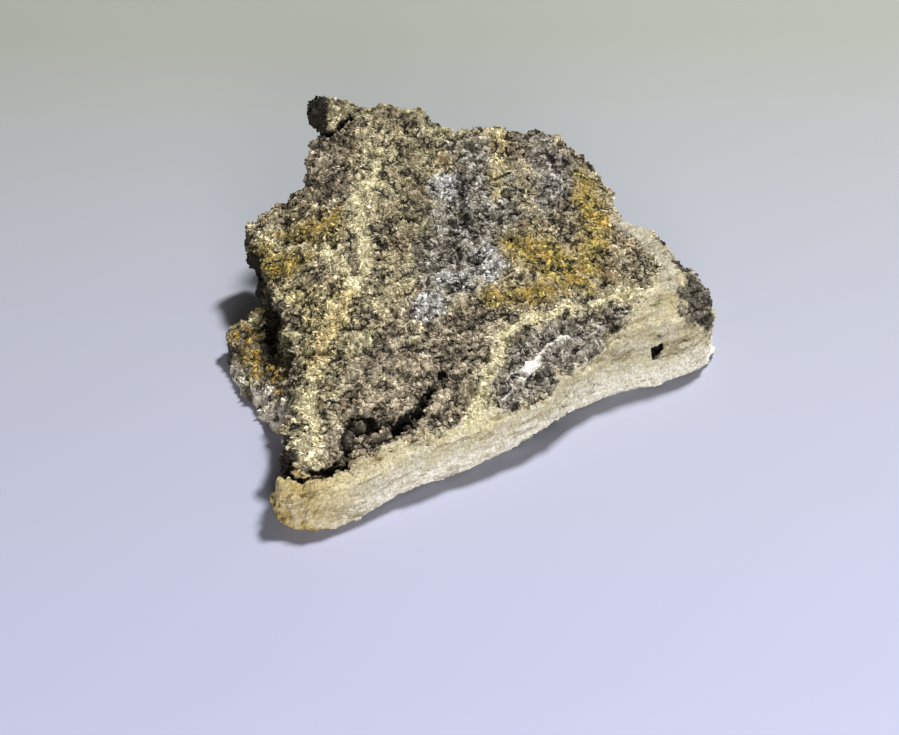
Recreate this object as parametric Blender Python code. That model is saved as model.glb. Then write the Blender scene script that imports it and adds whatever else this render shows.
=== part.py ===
"""A broken, palm-sized piece of petrified wood, lying on its flat split underside.

+X runs to the right, +Y away and +Z up, with the origin under the middle of the piece.
A pale rind, the outside of the old trunk, walls the front. Behind it one broad broken
face, crusted with fine quartz crystals, climbs to a high back edge. At the left the face
folds down into a thick overhanging lobe, over a low shelf with a dark cavity between.
Everything is drawn in millimetres and scaled to metres at the end.
"""

import math

import bmesh
import bpy
from mathutils import Matrix, Vector, noise

MM = 0.001

# The crystal face is one tilted plane that passes through the high back-left corner.
PEAK = (-23.6, 37.3, 25.0)
RISE_AWAY = 0.245
FALL_RIGHT = 0.06

# Left of this line the face folds down towards the lobe.
FOLD_LINE_X = -17.0
FOLD_SLOPE = 0.62
FOLD_ROUNDING = 4.0
FOLD_FADES_IN = (-34.0, -8.0)
FOLD_FADES_OUT = (24.0, 27.5)
FOLD_LEFT_AT_BACK = 0.25

# Right of this line the face rounds over to the low right end.
NOSE_LINE_X = 23.0
NOSE_SLOPE = 0.15

# The edge of the crystal face, seen from above. Its height comes from face_height.
RIM = [
    (35.6, 0.2),
    (33.0, 3.2),
    (31.2, 7.4),
    (27.0, 12.6),
    (23.4, 14.6),
    (22.2, 19.9),
    (20.8, 25.2),
    (18.6, 27.4),
    (15.8, 29.6),
    (13.2, 32.5),
    (7.7, 32.4),
    (3.5, 33.2),
    (-2.4, 31.8),
    (-4.5, 32.4),
    (-7.0, 35.2),
    (-11.7, 36.8),
    (-14.7, 36.0),
    (-19.4, 38.4),
    (-22.0, 38.8),
    (-23.6, 38.2),
    (-23.2, 35.4),
    (-22.8, 28.6),
    (-24.7, 25.4),
    (-24.8, 21.2),
    (-28.0, 24.2),
    (-31.2, 24.6),
    (-33.4, 22.2),
    (-33.6, 18.4),
    (-30.7, 13.6),
    (-29.6, 7.5),
    (-28.3, -1.0),
    (-26.0, -6.4),
    (-26.0, -9.8),
    (-25.6, -17.0),
    (-26.0, -24.0),
    (-25.4, -30.9),
    (-25.6, -35.2),
    (-22.9, -35.8),
    (-20.0, -36.8),
    (-16.3, -35.9),
    (-10.9, -31.8),
    (-3.6, -27.5),
    (3.4, -23.9),
    (7.6, -20.9),
    (11.5, -18.4),
    (14.9, -14.4),
    (20.0, -8.7),
    (23.8, -5.4),
    (31.5, -2.6),
]

# The wall part way down, with its height: it bulges under the rind, and is cut back
# under the back edge, under the lobe and behind the shelf.
WAIST = [
    (36.2, 1.4, 4.5),
    (31.6, 6.0, 7.0),
    (25.6, 11.2, 8.0),
    (22.2, 13.6, 9.0),
    (20.4, 18.0, 10.0),
    (18.4, 23.4, 11.0),
    (13.6, 28.0, 12.0),
    (8.2, 29.6, 12.5),
    (0.0, 29.8, 12.5),
    (-6.0, 32.6, 13.0),
    (-12.0, 34.2, 13.5),
    (-18.0, 36.0, 14.0),
    (-22.8, 36.6, 15.0),
    (-22.2, 31.0, 14.0),
    (-22.6, 26.0, 11.0),
    (-27.0, 22.4, 7.0),
    (-31.0, 21.4, 6.5),
    (-32.2, 17.4, 5.0),
    (-31.8, 12.8, 4.2),
    (-30.0, 8.0, 5.0),
    (-25.6, 3.6, 6.0),
    (-24.0, -3.0, 5.6),
    (-26.4, -10.2, 5.5),
    (-27.2, -15.4, 4.5),
    (-26.0, -21.6, 4.5),
    (-25.4, -30.0, 4.5),
    (-26.2, -35.0, 3.6),
    (-24.2, -37.0, 2.6),
    (-19.4, -37.2, 2.6),
    (-16.6, -36.0, 3.0),
    (-7.8, -28.4, 3.5),
    (-2.4, -25.6, 3.5),
    (3.0, -23.2, 3.5),
    (6.4, -20.8, 3.0),
    (10.0, -16.8, 3.0),
    (13.0, -14.2, 3.5),
    (18.0, -10.8, 4.0),
    (23.6, -7.2, 4.0),
    (28.4, -5.6, 4.0),
    (33.4, -3.0, 4.0),
]

# The outline of the flat underside that the piece lies on.
BASE = [
    (35.4, 1.6),
    (31.0, 4.6),
    (25.0, 8.4),
    (19.4, 12.0),
    (16.4, 16.4),
    (14.4, 21.0),
    (9.0, 24.4),
    (1.0, 25.0),
    (-5.0, 27.6),
    (-12.0, 30.0),
    (-18.0, 30.4),
    (-19.0, 25.0),
    (-22.6, 19.0),
    (-27.0, 14.0),
    (-27.0, 8.0),
    (-23.6, 4.0),
    (-22.0, -4.0),
    (-25.6, -10.0),
    (-28.2, -16.2),
    (-25.6, -22.0),
    (-25.6, -34.0),
    (-24.6, -37.2),
    (-19.0, -37.3),
    (-17.2, -36.6),
    (-13.7, -32.2),
    (-7.2, -27.4),
    (-2.4, -25.2),
    (3.0, -22.2),
    (6.0, -19.4),
    (12.0, -13.2),
    (17.0, -9.8),
    (23.0, -6.6),
    (28.0, -5.4),
    (34.2, -1.8),
]

# The low shelf at the left, with its top's height, around its own middle.
SHELF_MIDDLE = (-28.0, -2.0)
SHELF_FOOT = [
    (-22.0, -2.0),
    (-22.0, 11.0),
    (-31.4, 10.0),
    (-34.8, 5.4),
    (-36.0, 2.4),
    (-34.2, -3.8),
    (-31.6, -9.6),
    (-28.2, -16.4),
    (-24.0, -15.6),
]
SHELF_TOP = [
    (-22.0, -2.0, 5.0),
    (-22.0, 11.0, 5.4),
    (-31.4, 8.8, 5.4),
    (-34.2, 5.0, 4.8),
    (-35.6, 2.4, 3.2),
    (-33.6, -3.6, 3.0),
    (-30.6, -8.8, 3.4),
    (-27.6, -15.0, 3.6),
    (-24.0, -14.6, 7.0),
]
SHELF_CROWN = 5.8

# The dark slot between the face and the shelf: a narrow trench, and a flat scoop that
# runs in under the face from it. Middle and radii of each.
SLOT_CUTS = [
    ((-29.2, 2.0, 6.6), (1.35, 10.4, 4.2)),
    ((-28.4, 0.8, 6.0), (4.6, 9.2, 1.8)),
]
SLOT_TURN = math.radians(12)

# Knobs along the broken edges: middle and radii.
KNOBS = [
    ((-21.6, 36.2, 22.6), (2.7, 2.8, 3.4)),
    ((-17.8, 37.0, 22.4), (2.4, 2.2, 2.4)),
    ((-12.4, 35.6, 22.2), (2.8, 1.8, 2.2)),
    ((-8.0, 33.8, 21.8), (1.8, 1.8, 2.0)),
    ((3.4, 30.6, 20.2), (3.4, 1.8, 2.2)),
    ((11.6, 29.6, 19.6), (2.6, 2.2, 2.2)),
    ((20.2, 21.0, 16.6), (2.2, 2.6, 2.0)),
    ((25.2, 12.0, 13.6), (2.8, 1.8, 2.2)),
    ((-23.8, 23.4, 15.0), (2.0, 2.2, 2.4)),
    ((-31.4, 22.4, 9.4), (2.4, 2.2, 2.6)),
    ((-32.0, 17.0, 7.4), (1.9, 2.2, 2.4)),
    ((-28.2, -5.0, 5.6), (2.0, 2.2, 1.8)),
]

# The crack between the crystal face and the strip of crust behind the rind, in two
# stretches, each with its half width and its depth.
CRACKS = [
    (
        [(-25.6, -33.2), (-22.9, -35.2), (-20.0, -34.0), (-17.2, -31.4), (-17.6, -28.3), (-13.5, -25.6)],
        0.75,
        3.4,
    ),
    (
        [(-14.1, -28.0), (-10.9, -27.1), (-9.0, -25.1), (-6.6, -22.2), (-4.0, -16.6)],
        0.7,
        2.6,
    ),
]

# The strip of crust between the crack and the rind lies a little lower than the face.
STRIP = [(-24.0, -36.0), (-14.0, -30.6), (-4.0, -25.2), (0.5, -22.0)]
STRIP_HALF_WIDTH = 4.0
STRIP_DROP = 0.7

# A shallow oval hollow behind the rind, lined with darker crystals.
HOLLOW_MIDDLE = (12.4, -13.2)
HOLLOW_HALF_LENGTH = 15.0
HOLLOW_HALF_WIDTH = 4.8
HOLLOW_TURN = math.radians(45)
HOLLOW_DEPTH = 0.8

# Small deep pits in the face and the rind: middle, radius and depth.
PITS = [
    ((26.8, -5.8, 6.6), 1.3, 1.6),
    ((8.3, 10.1, 15.6), 1.2, 1.2),
    ((5.5, 6.6, 14.8), 1.2, 1.2),
    ((-13.6, -25.6, 8.6), 1.9, 2.4),
    ((-15.8, -26.6, 8.4), 1.6, 2.4),
    ((-25.0, -33.0, 7.2), 1.8, 2.2),
    ((-4.5, 31.5, 22.4), 1.6, 1.4),
]

# How finely the surface is drawn, and how far its relief stands out.
STATIONS = 120
FACE_RINGS = 8
BELOW_GROUND = -3.0
VOXEL = 0.65
SOFTENING_PASSES = 1
CRYSTAL_SIZE = 2.6
CRYSTAL_RELIEF = 0.55
LUMP_SIZE = 11.0
LUMP_RELIEF = 1.1
LEDGE_SIZE = 5.0
LEDGE_RELIEF = 1.3
GROOVE_SIZE = 2.2
GROOVE_STRETCH = 6.0
GROOVE_RELIEF = 0.4
TRIANGLES = 10600

# The rind faces this way, from a line through its left corner, and its grain runs along
# the other. It is worn round, from this far behind the line and this high up.
RIND_OUT = Vector((0.52, -0.85, 0.0)).normalized()
RIND_CORNER = Vector((-25.0, -36.0, 0.0))
GRAIN = Vector((0.85, 0.52, 0.0)).normalized()
WORN_DEPTH = (-2.5, 0.0)
WORN_HEIGHT = (2.0, 4.0)
WORN_PASSES = 32

STONE_COLOUR = (0.33, 0.27, 0.19, 1.0)
STONE_ROUGHNESS = 0.75


def ramp(low, high, value):
    """0 below low, 1 above high, and a smooth climb between."""
    t = min(max((value - low) / (high - low), 0.0), 1.0)
    return t * t * (3.0 - 2.0 * t)


def face_height(x, y):
    """The height of the crystal face above the underside."""
    height = PEAK[2] + RISE_AWAY * (y - PEAK[1]) - FALL_RIGHT * (x - PEAK[0])
    past_fold = FOLD_LINE_X - x
    past_fold = (past_fold + math.hypot(past_fold, FOLD_ROUNDING)) / 2.0
    share = ramp(*FOLD_FADES_IN, y)
    share *= 1.0 - (1.0 - FOLD_LEFT_AT_BACK) * ramp(*FOLD_FADES_OUT, y)
    height -= FOLD_SLOPE * past_fold * share
    height -= NOSE_SLOPE * max(0.0, x - NOSE_LINE_X)
    return height


def on_outline(outline, middle, angle):
    """The point of a closed outline in this direction from the middle."""
    ray = Vector((math.cos(angle), math.sin(angle)))
    best = None
    for here, after in zip(outline, outline[1:] + outline[:1]):
        a = Vector(here[:2]) - Vector(middle)
        b = Vector(after[:2]) - Vector(middle)
        side_a = ray.x * a.y - ray.y * a.x
        side_b = ray.x * b.y - ray.y * b.x
        if side_a * side_b > 0.0 or side_a == side_b:
            continue
        share = side_a / (side_a - side_b)
        reach = a.lerp(b, share).dot(ray)
        if reach > 0.0 and (best is None or reach > best[0]):
            best = (reach, Vector(here).lerp(Vector(after), share))
    return best[1]


def lofted(bm, middle, rings, crown):
    """Add one closed body: quads between the rings, a flat bottom and a top fan."""
    loops = [[bm.verts.new(point) for point in ring] for ring in rings]
    for lower, upper in zip(loops, loops[1:]):
        for i in range(STATIONS):
            j = (i + 1) % STATIONS
            bm.faces.new((lower[i], lower[j], upper[j], upper[i]))
    bm.faces.new(list(reversed(loops[0])))
    top = bm.verts.new((*middle, crown))
    for i in range(STATIONS):
        bm.faces.new((loops[-1][i], loops[-1][(i + 1) % STATIONS], top))


def angles():
    return [2.0 * math.pi * i / STATIONS for i in range(STATIONS)]


def add_main_body(bm):
    middle = (0.0, 0.0)
    base = [on_outline(BASE, middle, a) for a in angles()]
    rings = [[(p.x, p.y, BELOW_GROUND) for p in base]]
    rings.append([(p.x, p.y, 0.0) for p in base])
    rings.append([on_outline(WAIST, middle, a) for a in angles()])
    rim = [on_outline(RIM, middle, a) for a in angles()]
    for step in range(FACE_RINGS):
        share = 1.0 - step / FACE_RINGS
        ring = [p * share for p in rim]
        rings.append([(p.x, p.y, face_height(p.x, p.y)) for p in ring])
    lofted(bm, middle, rings, face_height(*middle))


def add_shelf(bm):
    foot = [on_outline(SHELF_FOOT, SHELF_MIDDLE, a) for a in angles()]
    rings = [[(p.x, p.y, BELOW_GROUND) for p in foot]]
    rings.append([(p.x, p.y, 1.0) for p in foot])
    rings.append([on_outline(SHELF_TOP, SHELF_MIDDLE, a) for a in angles()])
    lofted(bm, SHELF_MIDDLE, rings, SHELF_CROWN)


def add_knobs(bm):
    for middle, radii in KNOBS:
        place = Matrix.Translation(middle) @ Matrix.Diagonal((*radii, 1.0))
        bmesh.ops.create_icosphere(bm, subdivisions=2, radius=1.0, matrix=place)


def evaluated_mesh(obj):
    """The object's mesh with its modifiers applied."""
    graph = bpy.context.evaluated_depsgraph_get()
    return bpy.data.meshes.new_from_object(obj.evaluated_get(graph))


def apply_modifiers(obj):
    mesh = evaluated_mesh(obj)
    obj.modifiers.clear()
    obj.data = mesh


def fuse(obj):
    """One closed and even skin over all the bodies, slightly worn at its edges."""
    remesh = obj.modifiers.new("Fuse", "REMESH")
    remesh.mode = "VOXEL"
    remesh.voxel_size = VOXEL
    worn = obj.modifiers.new("Wear", "SMOOTH")
    worn.iterations = SOFTENING_PASSES
    worn.factor = 0.5
    apply_modifiers(obj)


def wear_rind(obj):
    """Round off the top edge of the rind."""
    worn = obj.vertex_groups.new(name="rind")
    for vertex in obj.data.vertices:
        share = ramp(*WORN_DEPTH, (vertex.co - RIND_CORNER).dot(RIND_OUT))
        worn.add([vertex.index], share * ramp(*WORN_HEIGHT, vertex.co.z), "REPLACE")
    smooth = obj.modifiers.new("Worn rind", "SMOOTH")
    smooth.iterations = WORN_PASSES
    smooth.factor = 0.5
    smooth.vertex_group = worn.name
    apply_modifiers(obj)


def cut_slot(obj, middle, radii):
    """Scoop one stretched ball out of the left wall."""
    mesh = bpy.data.meshes.new("slot_cutter")
    bm = bmesh.new()
    place = Matrix.Translation(middle) @ Matrix.Rotation(SLOT_TURN, 4, "Z")
    place @= Matrix.Diagonal((*radii, 1.0))
    bmesh.ops.create_icosphere(bm, subdivisions=4, radius=1.0, matrix=place)
    bm.to_mesh(mesh)
    bm.free()
    cutter = bpy.data.objects.new("slot_cutter", mesh)
    bpy.context.scene.collection.objects.link(cutter)
    cut = obj.modifiers.new("Slot", "BOOLEAN")
    cut.operation = "DIFFERENCE"
    cut.object = cutter
    apply_modifiers(obj)
    bpy.data.objects.remove(cutter, do_unlink=True)


def nearest_on_path(path, x, y):
    """The distance from a point to a path, seen from above."""
    best = math.inf
    spot = Vector((x, y))
    for here, after in zip(path, path[1:]):
        a, b = Vector(here), Vector(after)
        along = (spot - a).dot(b - a) / (b - a).length_squared
        best = min(best, (spot - a.lerp(b, min(max(along, 0.0), 1.0))).length)
    return best


def crystals(point):
    """Flat crystal facets: each cell of the pattern is one tilted plane."""
    scaled = point / CRYSTAL_SIZE
    centre = noise.voronoi(scaled)[1][0]
    tilt = noise.noise_vector(centre * 5.3)
    return tilt.dot(scaled - centre) * 2.0 + noise.noise(centre * 3.1)


def ledges(point):
    """Stepped, splintery relief of the broken sides."""
    steps = noise.fractal(point / LEDGE_SIZE, 0.7, 2.1, 3)
    return steps + 0.5 * (1.0 - 2.0 * abs(noise.noise(point * 1.9 / LEDGE_SIZE)))


def grooves(point):
    """Long shallow grooves of the rind, stretched along the grain."""
    along = point.dot(GRAIN)
    squeezed = point - GRAIN * along * (1.0 - 1.0 / GROOVE_STRETCH)
    return noise.fractal(squeezed / GROOVE_SIZE, 0.8, 2.0, 2)


def relief(point, normal):
    """How far the surface stands out of the smooth form at a point."""
    up = ramp(0.35, 0.75, normal.z)
    down = ramp(0.2, 0.7, -normal.z)
    rind = (1.0 - up) * (1.0 - down) * ramp(0.25, 0.6, normal.dot(RIND_OUT))
    broken = (1.0 - up) * (1.0 - rind)
    out = LUMP_RELIEF * noise.noise(point / LUMP_SIZE) * (1.0 - 0.6 * rind)
    out += up * CRYSTAL_RELIEF * crystals(point)
    out += rind * GROOVE_RELIEF * grooves(point)
    out += broken * LEDGE_RELIEF * ledges(point) * (1.0 - 0.7 * down)
    return out


def sunk(point, normal):
    """How far cracks, hollows and pits lower the surface at a point."""
    x, y, _ = point
    deep = 0.0
    if normal.z > 0.3:
        for path, half_width, depth in CRACKS:
            share = 1.0 - nearest_on_path(path, x, y) / half_width
            deep = max(deep, depth * ramp(0.0, 1.0, share))
        strip = nearest_on_path(STRIP, x, y) / STRIP_HALF_WIDTH
        deep += STRIP_DROP * (1.0 - ramp(0.5, 1.0, strip))
        away = Vector((x - HOLLOW_MIDDLE[0], y - HOLLOW_MIDDLE[1]))
        away.rotate(Matrix.Rotation(-HOLLOW_TURN, 2))
        oval = math.hypot(away.x / HOLLOW_HALF_LENGTH, away.y / HOLLOW_HALF_WIDTH)
        deep += HOLLOW_DEPTH * (1.0 - ramp(0.6, 1.05, oval))
    for middle, radius, depth in PITS:
        share = 1.0 - (point - Vector(middle)).length / radius
        deep = max(deep, depth * ramp(0.0, 1.0, share))
    return deep


def shape_surface(obj):
    """Move each point along its normal by the relief, less what is sunk."""
    mesh = obj.data
    places = [v.co.copy() for v in mesh.vertices]
    normals = [v.normal.copy() for v in mesh.vertices]
    for vertex, place, normal in zip(mesh.vertices, places, normals):
        out = relief(place, normal) - sunk(place, normal)
        vertex.co = place + normal * out


def thin_out(obj):
    """Fewer triangles: large ones on the flat stretches, small ones on the crystals."""
    obj.data.calc_loop_triangles()
    thin = obj.modifiers.new("Thin out", "DECIMATE")
    thin.ratio = min(1.0, TRIANGLES / len(obj.data.loop_triangles))
    apply_modifiers(obj)


def cut_underside(bm):
    """Cut everything below the ground plane away, and close the cut with one flat face."""
    geometry = bm.verts[:] + bm.edges[:] + bm.faces[:]
    cut = bmesh.ops.bisect_plane(
        bm, geom=geometry, plane_co=(0, 0, 0), plane_no=(0, 0, 1), clear_inner=True
    )
    rim = [e for e in cut["geom_cut"] if isinstance(e, bmesh.types.BMEdge)]
    bmesh.ops.holes_fill(bm, edges=rim)


def centre_and_scale(bm):
    """Put the middle of the outline over the origin, and turn millimetres into metres."""
    for axis in (0, 1):
        places = [v.co[axis] for v in bm.verts]
        middle = (min(places) + max(places)) / 2.0
        for vertex in bm.verts:
            vertex.co[axis] -= middle
    bmesh.ops.scale(bm, vec=(MM, MM, MM), verts=bm.verts)


def stone_material():
    material = bpy.data.materials.new("petrified wood")
    material.use_nodes = True
    surface = material.node_tree.nodes["Principled BSDF"]
    surface.inputs["Base Color"].default_value = STONE_COLOUR
    surface.inputs["Roughness"].default_value = STONE_ROUGHNESS
    surface.inputs["Metallic"].default_value = 0.0
    return material


def make_petrified_wood():
    mesh = bpy.data.meshes.new("petrified_wood")
    bm = bmesh.new()
    add_main_body(bm)
    add_shelf(bm)
    add_knobs(bm)
    bmesh.ops.recalc_face_normals(bm, faces=bm.faces)
    bm.to_mesh(mesh)
    bm.free()
    obj = bpy.data.objects.new("petrified_wood", mesh)
    bpy.context.scene.collection.objects.link(obj)
    fuse(obj)
    wear_rind(obj)
    for middle, radii in SLOT_CUTS:
        cut_slot(obj, middle, radii)
    fuse(obj)
    shape_surface(obj)
    thin_out(obj)
    bm = bmesh.new()
    bm.from_mesh(obj.data)
    cut_underside(bm)
    bmesh.ops.triangulate(bm, faces=bm.faces)
    centre_and_scale(bm)
    bm.to_mesh(obj.data)
    bm.free()
    obj.data.name = "petrified_wood"
    obj.data.materials.clear()
    obj.data.materials.append(stone_material())


for leftover in list(bpy.data.objects):
    bpy.data.objects.remove(leftover, do_unlink=True)
make_petrified_wood()
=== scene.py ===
import math

import bpy
import numpy as np
from mathutils import Matrix, Vector
from mathutils.noise import noise as noise_at


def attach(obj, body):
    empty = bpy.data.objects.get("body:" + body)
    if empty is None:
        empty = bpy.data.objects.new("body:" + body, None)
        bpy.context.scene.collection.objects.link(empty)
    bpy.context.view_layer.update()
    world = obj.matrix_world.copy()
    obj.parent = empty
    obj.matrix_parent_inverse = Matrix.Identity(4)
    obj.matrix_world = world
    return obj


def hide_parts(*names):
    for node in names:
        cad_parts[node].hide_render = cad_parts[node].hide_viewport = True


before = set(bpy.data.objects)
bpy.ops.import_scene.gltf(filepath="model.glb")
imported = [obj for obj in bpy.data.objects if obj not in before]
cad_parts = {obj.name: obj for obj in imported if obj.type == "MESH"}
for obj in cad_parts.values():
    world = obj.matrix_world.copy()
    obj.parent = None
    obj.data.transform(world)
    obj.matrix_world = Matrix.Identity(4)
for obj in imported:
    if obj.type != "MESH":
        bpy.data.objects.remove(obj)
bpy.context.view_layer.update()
MM = 0.001

# --- Floor, light and camera -----------------------------------------------------------
# A plain pale table top that is lit from high on the far right by one soft lamp, with a
# weaker wide lamp over the near side. The camera looks down on the stone from the front.

FLOOR_SIZE = 3.0
FLOOR_NEAR = (0.405, 0.415, 0.57, 1.0)
FLOOR_FAR = (0.265, 0.28, 0.245, 1.0)
FLOOR_ROUGHNESS = 0.6
FADE_START = -0.08
FADE_END = 0.11
DULL_SHINE = 0.2
KEY_PLACE = (0.33, 0.41, 0.80)
KEY_SIZE = 0.13
KEY_POWER = 14.3
FILL_PLACE = (0.12, -0.87, 0.19)
FILL_SIZE = 0.4
FILL_POWER = 7.6
SKY = (1.0, 0.93, 0.80, 1.0)
SKY_STRENGTH = 0.095
CAMERA_PLACE = (-0.0030, -0.2430, 0.17314)
CAMERA_TILT = math.radians(54.373)
CAMERA_ROLL = math.radians(-1.033)
LENS = 80.09


def add_node(tree, kind, feeds=None, **settings):
    """Add a node, set its options, and link or set the sockets named in feeds."""
    made = tree.nodes.new(kind)
    for option, value in settings.items():
        setattr(made, option, value)
    for socket, value in (feeds or {}).items():
        if isinstance(value, bpy.types.NodeSocket):
            tree.links.new(value, made.inputs[socket])
        else:
            made.inputs[socket].default_value = value
    return made


def new_material(name):
    """A material with its Principled surface, and the Object coordinates of its piece."""
    material = bpy.data.materials.new(name)
    material.use_nodes = True
    tree = material.node_tree
    surface = tree.nodes["Principled BSDF"]
    surface.inputs["Specular IOR Level"].default_value = DULL_SHINE
    place = add_node(tree, "ShaderNodeTexCoord").outputs["Object"]
    return material, tree, surface, place


def deselect_all():
    if bpy.context.object and bpy.context.object.mode != "OBJECT":
        bpy.ops.object.mode_set(mode="OBJECT")
    bpy.ops.object.select_all(action="DESELECT")


deselect_all()
bpy.ops.mesh.primitive_plane_add(size=FLOOR_SIZE, location=(0.0, 0.0, 0.0))
floor = bpy.context.object
floor.name = "floor"
material, tree, surface, place = new_material("pale table top")
depth = add_node(tree, "ShaderNodeSeparateXYZ", {0: place}).outputs["Y"]
fade = add_node(tree, "ShaderNodeMapRange", {0: depth, 1: FADE_START, 2: FADE_END}).outputs[0]
tones = {0: fade, 6: FLOOR_NEAR, 7: FLOOR_FAR}
tone = add_node(tree, "ShaderNodeMix", tones, data_type="RGBA")
tree.links.new(tone.outputs[2], surface.inputs["Base Color"])
surface.inputs["Roughness"].default_value = FLOOR_ROUGHNESS
floor.data.materials.append(material)


def add_lamp(name, spot, size, power):
    """A soft square lamp that points at the stone."""
    bpy.ops.object.light_add(type="AREA", location=spot)
    lamp = bpy.context.object
    lamp.name = name
    lamp.data.size = size
    lamp.data.energy = power
    away = lamp.location.copy()
    lamp.rotation_euler = away.to_track_quat("Z", "Y").to_euler()


add_lamp("key_lamp", KEY_PLACE, KEY_SIZE, KEY_POWER)
add_lamp("fill_lamp", FILL_PLACE, FILL_SIZE, FILL_POWER)

world = bpy.data.worlds.new("room light")
world.use_nodes = True
world.node_tree.nodes["Background"].inputs["Color"].default_value = SKY
world.node_tree.nodes["Background"].inputs["Strength"].default_value = SKY_STRENGTH
bpy.context.scene.world = world

turn = Matrix.Rotation(CAMERA_TILT, 4, "X") @ Matrix.Rotation(CAMERA_ROLL, 4, "Z")
bpy.ops.object.camera_add(location=CAMERA_PLACE, rotation=turn.to_euler())
camera = bpy.context.object
camera.data.lens = LENS
bpy.context.scene.camera = camera
bpy.context.scene.view_settings.view_transform = "Standard"

# --- The stone -------------------------------------------------------------------------
# One broken piece of a silicified trunk. Mineral-rich water turned the wood to quartz
# cell by cell, so the cream rind keeps the grain of the wood, and the hollows inside
# filled with a brown, grey and ochre crust. It is the frame's solid, with a finer skin.

VOXEL = 0.365 * MM
WEIGHT_STEPS = 20
GRAIN_TURN = math.radians(31.5)
GRAIN_STRETCH = 8.0

# Seen from above in millimetres: the inner edge of the cream rind, from the front left
# corner to the right end. The rind is everything on the near side of it.
RIND_EDGE = [
    (-30.0, -32.0),
    (-26.4, -34.4),
    (-22.9, -35.4),
    (-17.0, -33.2),
    (-7.0, -28.2),
    (0.5, -24.0),
    (4.0, -23.0),
    (8.2, -20.8),
    (12.5, -17.4),
    (16.9, -12.8),
    (21.5, -7.4),
    (23.6, -4.0),
    (25.2, -0.9),
    (26.9, 1.6),
    (27.9, 4.2),
    (28.6, 6.2),
    (33.0, 5.0),
    (42.0, 1.0),
]

# Bands across the crust, each a path of places with the half width there.
MAIN_VEIN = [
    (-13.1, 26.2, 0.4),
    (-13.4, 21.8, 0.6),
    (-15.5, 16.4, 1.0),
    (-16.0, 12.3, 0.9),
    (-15.1, 7.9, 0.8),
    (-15.1, 2.9, 0.5),
    (-17.4, -1.4, 0.8),
    (-19.2, -6.3, 1.0),
    (-21.4, -10.9, 0.8),
    (-22.5, -15.6, 0.5),
    (-22.4, -20.7, 0.5),
    (-21.3, -26.7, 0.5),
    (-21.2, -34.4, 0.4),
]
LOBE_VEIN = [
    (-31.6, 18.4, 0.0),
    (-26.9, 12.0, 0.1),
    (-22.8, 9.3, 0.4),
    (-19.0, 4.4, 0.6),
    (-17.5, 2.0, 0.3),
    (-17.2, -3.1, 0.2),
]
OVAL_VEIN = [
    (29.7, 3.4, 0.6),
    (26.5, -0.5, 0.4),
    (22.0, -1.9, 0.2),
    (17.6, -3.6, 0.1),
    (13.1, -5.4, 0.2),
    (10.5, -6.5, 0.3),
    (6.2, -8.3, 0.6),
    (4.6, -11.0, 0.4),
    (3.0, -15.6, 0.4),
    (1.7, -19.0, 0.5),
    (0.5, -23.4, 0.9),
    (-0.7, -25.7, 1.2),
]
BUFF_BAND = [
    (-17.6, 0.7, 1.2),
    (-18.9, -3.9, 2.8),
    (-20.5, -7.9, 2.8),
    (-21.9, -13.0, 2.0),
    (-22.3, -18.0, 0.4),
]
BUFF_CORNER = [(-26.4, 2.6, 0.8), (-23.6, 0.4, 1.8), (-22.0, -3.6, 1.6)]
YELLOW_VEIN = [(5.9, 31.0, 0.6), (5.6, 29.2, 1.0), (5.1, 22.2, 0.8), (4.5, 16.3, 0.4)]
OCHRE_BAND = [
    (6.8, 7.6, 1.0),
    (9.9, 6.0, 2.6),
    (12.6, 3.4, 2.8),
    (15.0, 1.2, 2.2),
    (17.2, -1.2, 0.8),
]
EDGE_OCHRE = [
    (17.6, 22.4, 0.3),
    (18.0, 19.2, 0.8),
    (18.4, 16.2, 1.3),
    (19.4, 12.6, 1.6),
    (18.9, 9.0, 1.5),
    (18.2, 5.0, 1.4),
    (16.6, 1.4, 1.0),
]
LOW_OCHRE = [(3.4, -3.2, 0.8), (7.0, -3.0, 1.3), (10.8, -2.4, 1.1)]
LOBE_OCHRE = [(-19.8, 12.8, 1.6), (-22.3, 11.2, 3.6), (-26.5, 11.0, 5.0), (-31.0, 11.6, 4.8)]
VEIN_OCHRE = [(-17.5, -2.0, 0.8), (-19.2, -6.3, 1.8), (-21.2, -10.5, 1.6), (-22.4, -14.5, 0.6)]
BLUE_BAND = [
    (1.0, 27.0, 3.0),
    (2.5, 20.0, 5.4),
    (1.5, 14.0, 6.2),
    (-0.5, 7.5, 6.0),
    (-3.0, 1.0, 5.0),
    (-5.0, -3.5, 3.0),
]
TOP_GREY = [(10.5, 28.5, 1.6), (13.0, 23.0, 3.4), (14.0, 18.5, 2.6), (11.5, 14.5, 1.4)]
PURPLE_STREAK = [(-0.8, 21.5, 0.3), (-0.5, 17.0, 0.6), (-0.2, 12.5, 0.5), (0.8, 9.6, 0.2)]
CROSS_STREAK = [(2.3, 6.8, 0.1), (4.4, 7.4, 0.4), (6.3, 8.6, 0.5), (8.4, 10.8, 0.1)]
LEFT_STREAK = [(-9.8, 11.4, 0.2), (-7.8, 12.3, 0.3)]
OVAL = [
    (3.2, -23.4, 0.8),
    (5.6, -19.1, 3.2),
    (8.8, -15.6, 4.4),
    (13.9, -10.9, 4.0),
    (17.4, -7.9, 2.5),
    (19.0, -6.9, 0.4),
    (20.4, -5.6, 1.7),
    (22.2, -4.2, 1.3),
]
WHITE_KNOB = [(8.4, -15.3, 0.8), (9.3, -14.1, 0.8)]
UP_THREAD = [
    (9.3, -14.1, 0.5),
    (10.6, -12.1, 0.14),
    (12.1, -10.4, 0.1),
    (13.6, -8.8, 0.22),
    (14.5, -9.1, 0.08),
    (15.4, -9.3, 0.05),
    (17.6, -7.7, 0.0),
]
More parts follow.
